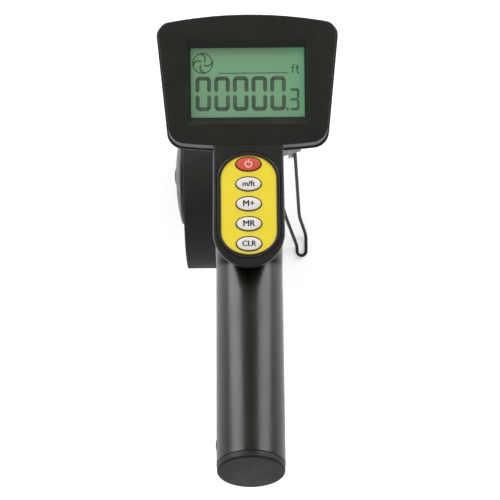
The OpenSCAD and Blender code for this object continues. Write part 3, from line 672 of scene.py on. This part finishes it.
def make_display(m):
    glass_z = 565.4
    x, y0, y1 = 32.0, LCD_Y - 20.5, LCD_Y + 20.5
    case = block("lcd_case", (-x, y0, 561), (x, y1, glass_z - 0.7))
    field = block("lcd_field", (-x + 0.6, y0 + 0.8, glass_z - 0.9), (x - 0.6, y1 - 0.8, glass_z))
    paint(case, m["print_white"])
    paint(field, m["lcd_green"])
    piece(join("lcd_panel", [case, field]), "handle", ["lcd_module"])

    width, height, thick, pitch, base, left = 8.4, 18.6, 2.15, 10.05, 10.9, -28.1
    shapes = []
    for i in range(5):
        shapes += digit_bars("0", left + i * pitch, base, width, height, thick)
    shapes += digit_bars("3", 22.4, base, 5.4, 11.9, 1.35)
    point_x, point_y = 21.3, base + 0.8
    shapes.append(arc(point_x, point_y, 0.75, 0, 2 * math.pi, 12)[:-1])
    # A turning-wheel mark: a ring with four curved vanes
    ring_x, ring_y, ring_r = -24.1, 36.6, 5.3
    shapes += strip(arc(ring_x, ring_y, ring_r, 0, 2 * math.pi, 40), 0.6)
    for i in range(4):
        a = math.pi / 2 * i + 0.5
        cx, cy = ring_x + 2.7 * math.cos(a), ring_y + 2.7 * math.sin(a)
        shapes += strip(arc(cx, cy, 2.7, a - 2.7, a - 0.5, 12), 0.85)
    rule_y = 31.2
    shapes += strip([(-15.9, rule_y), (22.0, rule_y)], 0.45)
    # The unit: f and t
    unit_x, unit_y = 24.2, 31.1
    shapes += strip([(unit_x, unit_y), (unit_x, unit_y + 3.8), (unit_x + 0.5, unit_y + 4.4),
                     (unit_x + 1.3, unit_y + 4.5)], 0.7)
    shapes += strip([(unit_x - 0.8, unit_y + 2.9), (unit_x + 1.1, unit_y + 2.9)], 0.6)
    shapes += strip([(unit_x + 2.5, unit_y + 4.3), (unit_x + 2.5, unit_y + 0.6),
                     (unit_x + 2.9, unit_y + 0.1), (unit_x + 3.6, unit_y)], 0.7)
    shapes += strip([(unit_x + 1.7, unit_y + 2.9), (unit_x + 3.5, unit_y + 2.9)], 0.6)
    bars = flat_shapes("lcd_segments", shapes, glass_z + 0.06, 0.08)
    piece(bars, "handle", material=m["segment_dark"])


# ---- Keypad ----

def make_keypad_frame(m):
    shift = ON_TONGUE @ Matrix.Translation((0, -PAD_MID, 0))
    section = fillet([(0.05, -2.5, 0), (0.05, 0.35, 0.35), (0.5, 0.6, 0.4), (1.5, 0.6, 0.5),
                      (2.0, 0.1, 0.4), (2.0, -2.5, 0)], 4)
    rings = [[(x, y, h) for x, y in oval(PAD_W + 2 * d, PAD_L + 2 * d, PAD_STRAIGHT)]
             for d, h in section]
    rim = loft("pad_rim", rings, shift, ring_of_rings=True)
    piece(rim, "handle", ["keypad_rim"], m["nut_black"])

    panel = prism("pad_panel", oval(PAD_W, PAD_L, PAD_STRAIGHT), -1.2, -0.1, shift)
    paint(panel, m["panel_yellow"])
    for i in range(5):
        at = ON_TONGUE @ Matrix.Translation((0, -KEY_FIRST - i * KEY_PITCH, 0))
        combine(panel, prism("hole", ellipse(KEY_W + 0.6, KEY_H + 0.6), -3, 2, at))
    piece(panel, "handle", ["keypad_panel"], m["panel_yellow"])


def legend_text(text, size, place):
    curve = bpy.data.curves.new("legend", "FONT")
    curve.body, curve.size = text, size * MM
    curve.align_x, curve.align_y = "CENTER", "CENTER"
    curve.extrude = 0.05 * MM
    source = add_object("legend", curve)
    mesh = evaluated_mesh(source)
    bpy.data.objects.remove(source)
    mesh.transform(Matrix.Translation(place.translation * MM) @ place.to_3x3().to_4x4())
    return add_object("legend", mesh)


def power_mark(place):
    shapes = strip(arc(0, 0, 1.75, math.radians(125), math.radians(415), 24), 0.5)
    shapes += strip([(0, 0.5), (0, 2.4)], 0.5)
    return flat_shapes("legend", shapes, 0.05, 0.1, place)


def make_keys(m):
    keys = [("key_power", "key_red", None), ("key_unit", "key_white", "m/ft"),
            ("key_save", "key_white", "M+"), ("key_recall", "key_white", "MR"),
            ("key_clear", "key_white", "CLR")]
    for i, (node, slot, text) in enumerate(keys):
        at = ON_TONGUE @ Matrix.Translation((0, -KEY_FIRST - i * KEY_PITCH, 0))
        levels = [(KEY_FLANGE, -2.3), (KEY_FLANGE, -1.7), (KEY_FLANGE - 0.2, -1.6), (0.1, -1.6),
                  (0, -1.5), (0, -0.05), (-0.15, 0.15), (-0.5, 0.32), (-1.2, 0.44), (-2.4, 0.52),
                  (-4.5, 0.57), (-6.5, 0.58)]
        rings = [[(x, y, h) for x, y in ellipse(KEY_W + d, KEY_H + d)] for d, h in levels]
        cap = paint(loft(node + "_cap", rings, at), m[slot])
        on_top = at @ Matrix.Translation((0, 0, 0.57))
        if text is None:
            mark = paint(power_mark(on_top), m["print_white"])
        else:
            size = 4.7 if len(text) < 3 else 4.1
            mark = join("legend", [legend_text(text, size, on_top @ Matrix.Translation((dx, 0, 0)))
                                   for dx in (-0.13, 0, 0.13)])
            paint(mark, m["print_black"])
        # The printed line round the key's edge
        band = [[(x, y, z) for x, y in ellipse(KEY_W + d, KEY_H + d)]
                for d, z in ((0.06, -0.06), (-0.12, 0.18), (-0.5, 0.37), (-0.85, 0.41),
                             (-0.85, 0.3), (-0.5, 0.2), (0, -0.1))]
        line = paint(loft("line", band, at, ring_of_rings=True), m["print_black"])
        piece(join(node + "_printed", [cap, mark, line]), body_of(node), [node])


# ---- Body and grip ----

def grip_radius(s):
    return GRIP_R0 + (GRIP_R1 - GRIP_R0) * (s + 6) / (GRIP_LEN + 6)


def neck_form():
    """The convex form that carries the pole socket into the grip's root and the tongue's back."""
    points = [(17.5 * math.cos(a), 17.5 * math.sin(a), z) for z in (492, 540)
              for a in (2 * math.pi * i / 64 for i in range(64))]
    points += [tuple(ON_GRIP @ Vector((GRIP_R0 * math.cos(a), GRIP_R0 * math.sin(a), s)))
               for s in (-4, 0) for a in (2 * math.pi * i / 64 for i in range(64))]
    points += [p for p in tongue_level(-TONGUE_D - 0.5, 0.9) if -66 < p[1] < -10.6]
    bm = bmesh.new()
    for p in points:
        bm.verts.new(Vector(p) * MM)
    result = bmesh.ops.convex_hull(bm, input=bm.verts)
    loose = [e for e in result["geom_interior"] if isinstance(e, bmesh.types.BMVert)]
    bmesh.ops.delete(bm, geom=loose, context="VERTS")
    mesh = bpy.data.meshes.new("neck")
    bm.to_mesh(mesh)
    bm.free()
    return add_object("neck", mesh)


def body_form():
    """Neck and grip as one skin: their join is blended, and the grip is then a true cone again."""
    whole = neck_form()
    past = GRIP_LEN + 7
    cone = [(0, -6, 0), (grip_radius(-6), -6, 0), (grip_radius(past), past, 0), (0, past, 0)]
    combine(whole, lathe("grip", fillet(cone), ON_GRIP, 96), "UNION")
    remesh = whole.modifiers.new("skin", "REMESH")
    remesh.mode, remesh.voxel_size = "VOXEL", 1.15 * MM
    ease = whole.modifiers.new("ease", "SMOOTH")
    ease.factor, ease.iterations = 0.5, 9
    take_mesh(whole)
    to_grip = ON_GRIP.inverted()
    for vert in whole.data.vertices:
        local = to_grip @ (vert.co / MM)
        radial = math.hypot(local.x, local.y)
        if 9 < local.z < GRIP_LEN + 4 and radial > 13:
            blend = min(1, (local.z - 9) / 14)
            pull = 1 + (grip_radius(local.z) / radial - 1) * blend
            local.x, local.y = local.x * pull, local.y * pull
            vert.co = (ON_GRIP @ local) * MM
    return whole


def cut_hollows(whole):
    combine(whole, prism("past_end", ellipse(70, 70, 32), GRIP_LEN, GRIP_LEN + 20, ON_GRIP))
    combine(whole, front_form())
    combine(whole, loft("rear", [rear_level(z) for z in (FLOOR_Z, SEAM_Z + 0.5)]))
    inside = [(0, 2, 0), (GRIP_R0 - 3, 2, 1), (GRIP_R1 - 3, GRIP_LEN - 5.5, 1), (0, GRIP_LEN - 5.5, 0)]
    combine(whole, lathe("inside", fillet(inside), ON_GRIP, 64))
    combine(whole, prism("liner", ellipse(18.5, 18.5), 4, GRIP_LEN + 8, ON_GRIP))
    # V grooves where the halves meet along the grip's upper and lower side
    for side in (1, -1):
        tip = [[(x, side * (grip_radius(s) + dy), s) for x, dy in
                ((-0.6, 0.13), (0.6, 0.13), (0, -0.13))] for s in (4, GRIP_LEN + 1)]
        combine(whole, loft("groove", tip, ON_GRIP))
    combine(whole, block("eye_slot", (-2.05, -40, SIDE_SCREW_S - 5.05),
                         (2.05, -13.2, SIDE_SCREW_S + 5.05), ON_GRIP))
    across = Matrix.Rotation(math.pi / 2, 4, "Y")
    combine(whole, prism("side_well", ellipse(7.0, 7.0, 40), -30, -16.4,
                         ON_GRIP @ Matrix.Translation((0, 0, SIDE_SCREW_S)) @ across))
    places = [ON_GRIP @ Matrix.Translation((0, SCREW_N, s)) for s in SCREW_S]
    places.append(Matrix.Translation((0, NECK_SCREW_Y, NECK_SCREW_Z)))
    for place in places:
        combine(whole, prism("well", ellipse(6.2, 6.2, 40), -30, -11, place @ across))
    combine(whole, prism("pole", ellipse(2 * POLE_R + 0.1, 2 * POLE_R + 0.1, 60), 480, 532.4))
    return whole


def make_body(m):
    whole = cut_hollows(body_form())
    halves = (("grip_half_left", "body_left", -60, -PARTING),
              ("grip_half_right", "body_right", PARTING, 60))
    for name, node, low, high in halves:
        half = whole.copy()
        half.name, half.data = name, whole.data.copy()
        bpy.context.scene.collection.objects.link(half)
        combine(half, block("side", (low, -220, 460), (high, 60, 700)), "INTERSECT")
        piece(half, "handle", [node], m["grip_plastic"], 20)
    bpy.data.objects.remove(whole)

    end = fillet([(0, 112.5, 0), (7.7, 112.5, 0.5), (7.7, 119.6, 0), (17.1, 119.6, 0),
                  (17.3, 119.8, 0.2), (17.3, 123.5, 1.2), (0, 123.5, 0)], 6)
    cap = lathe("grip_end", end, ON_GRIP, 96)
    piece(cap, "battery_cap", ["battery_cap"], m["cap_plastic"])


# ---- Screws ----

def screw(place, head_r, head_h, shank_r, length):
    """A pan-head screw with a cross recess, its head's top at local z = 0, pointing outward."""
    rise = head_h * 0.25
    profile = fillet([(0, 0, 0), (head_r * 0.6, -rise * 0.2, 0.5), (head_r, -rise - 0.3, 0.4),
                      (head_r, -head_h, 0), (shank_r, -head_h, 0), (shank_r, -length, 0.3),
                      (0, -length, 0)], 4)
    body = lathe("screw", profile, place, 40)
    arm, slot = head_r * 0.58, head_r * 0.13
    for w, h in ((arm, slot), (slot, arm)):
        combine(body, block("cross", (-w, -h, -head_h * 0.6), (w, h, 1), place))
    return body


def make_screws(m):
    down = Matrix.Rotation(math.pi, 4, "X")
    left = Matrix.Rotation(-math.pi / 2, 4, "Y")
    right = Matrix.Rotation(math.pi / 2, 4, "Y")
    sets = {
        "head_screws": [(Matrix.Translation((x, y, FLOOR_Z + 0.2)) @ down, 2.8, 1.8, 1.5, 20.0)
                        for x, y in HEAD_SCREWS],
        "body_screws": [(ON_GRIP @ Matrix.Translation((-12.6, SCREW_N, s)) @ left, 2.8, 1.6, 1.5, 20.0)
                        for s in SCREW_S]
                       + [(Matrix.Translation((-12.6, NECK_SCREW_Y, NECK_SCREW_Z)) @ left,
                           2.8, 1.6, 1.5, 20.0)],
        "housing_screws": [(Matrix.Translation((17, 20 * math.cos(a), AXLE_Z + 20 * math.sin(a)))
                            @ right, 2.8, 1.5, 1.4, 8.0)
                           for a in (math.radians(d) for d in (30, 150, 270))],
        "grip_side_screw": [(ON_GRIP @ Matrix.Translation((-18.0, 0, SIDE_SCREW_S)) @ left,
                             3.4, 1.6, 1.5, 8.7)],
        "bracket_screws": [(Matrix.Translation((x, 28.5, 123)) @ Matrix.Rotation(-math.pi / 2, 4, "X"),
                            4.0, 2.0, 2.0, 13.0) for x in (7, -7)],
    }
    for node, screws in sets.items():
        made = [screw(*row) for row in screws]
        dark = node == "grip_side_screw"
        material = m["nut_black"] if dark else m["steel"]
        piece(join(node + "_crossed", made), body_of(node),
              [node], material)


# ---- CAD nodes that stay ----

def body_of(node):
    """The body a CAD node belongs to."""
    for name, nodes in frame["record"]["behaviour"]["bodies"].items():
        if node in nodes:
            return name
    raise KeyError(node)


def dress_frame(m):
    edges = {"sensor_housing": 1.2, "housing_cover": 0.5, "lock_collar": 0.8, "lock_lever": 0.8,
             "stand_bracket": 0.35, "strap_eye": 0.6, "wheel_disc": 0.6, "lower_tube": 0.3,
             "upper_tube": 0.2, "axle_locknut": 0.3, "collar_screw": 0.3}
    for row in frame["record"]["subparts"]:
        obj = frame["nodes"][row["node"]]
        material = m[row["material_slot"]]
        if not obj.material_slots:
            obj.data.materials.append(material)
        for place in obj.material_slots:
            place.material = material
        if row["node"] in edges:
            soften(obj, edges[row["node"]])


# ---- Stage ----

def make_stage():
    bpy.ops.mesh.primitive_plane_add(size=30)
    floor = bpy.context.object
    floor.name = "floor"
    floor.location.z = -0.0002
    material = surface("floor_white", (0.9, 0.9, 0.9), 0.9, grain=3, bump=0.02, mottle=0.01,
                       patch=300, Emission_Strength=0.35)
    shader_of(material).inputs["Emission Color"].default_value = (1, 1, 1, 1)
    paint(floor, material)

    world = bpy.data.worlds.new("studio")
    world.use_nodes = True
    world.node_tree.nodes["Background"].inputs["Color"].default_value = (1, 1, 1, 1)
    world.node_tree.nodes["Background"].inputs["Strength"].default_value = 0.45
    bpy.context.scene.world = world

    target = Vector((0, -0.08, 0.5))
    lights = [("left_panel", (-1.08, 1.12, 0.8), (0.85, 1.5), 27),
              ("right_panel", (1.08, 1.12, 0.8), (0.85, 1.5), 23),
              ("low_panel", (0, -1.9, 1.1), (2.2, 0.8), 7)]
    for name, where, size, power in lights:
        data = bpy.data.lights.new(name, "AREA")
        data.shape, data.size, data.size_y, data.energy = "RECTANGLE", size[0], size[1], power
        lamp = add_object(name, data)
        lamp.location = where
        aim = target - Vector(where)
        lamp.rotation_euler = aim.to_track_quat("-Z", "Y").to_euler()


def make_camera():
    data = bpy.data.cameras.new("camera")
    data.sensor_width, data.lens = 36, 107.6
    camera = add_object("camera", data)
    camera.location = (0.00043, -0.064, 1.3695)
    camera.rotation_euler = (0, 0, math.radians(-0.53))
    bpy.context.scene.camera = camera
    bpy.context.scene.view_settings.view_transform = "Standard"


materials = make_materials()
make_camera()
make_stage()
dress_frame(materials)
make_wheel(materials)
make_stand(materials)
make_head_front(materials)
make_head_rear(materials)
make_display(materials)
make_keypad_frame(materials)
make_keys(materials)
make_body(materials)
make_screws(materials)
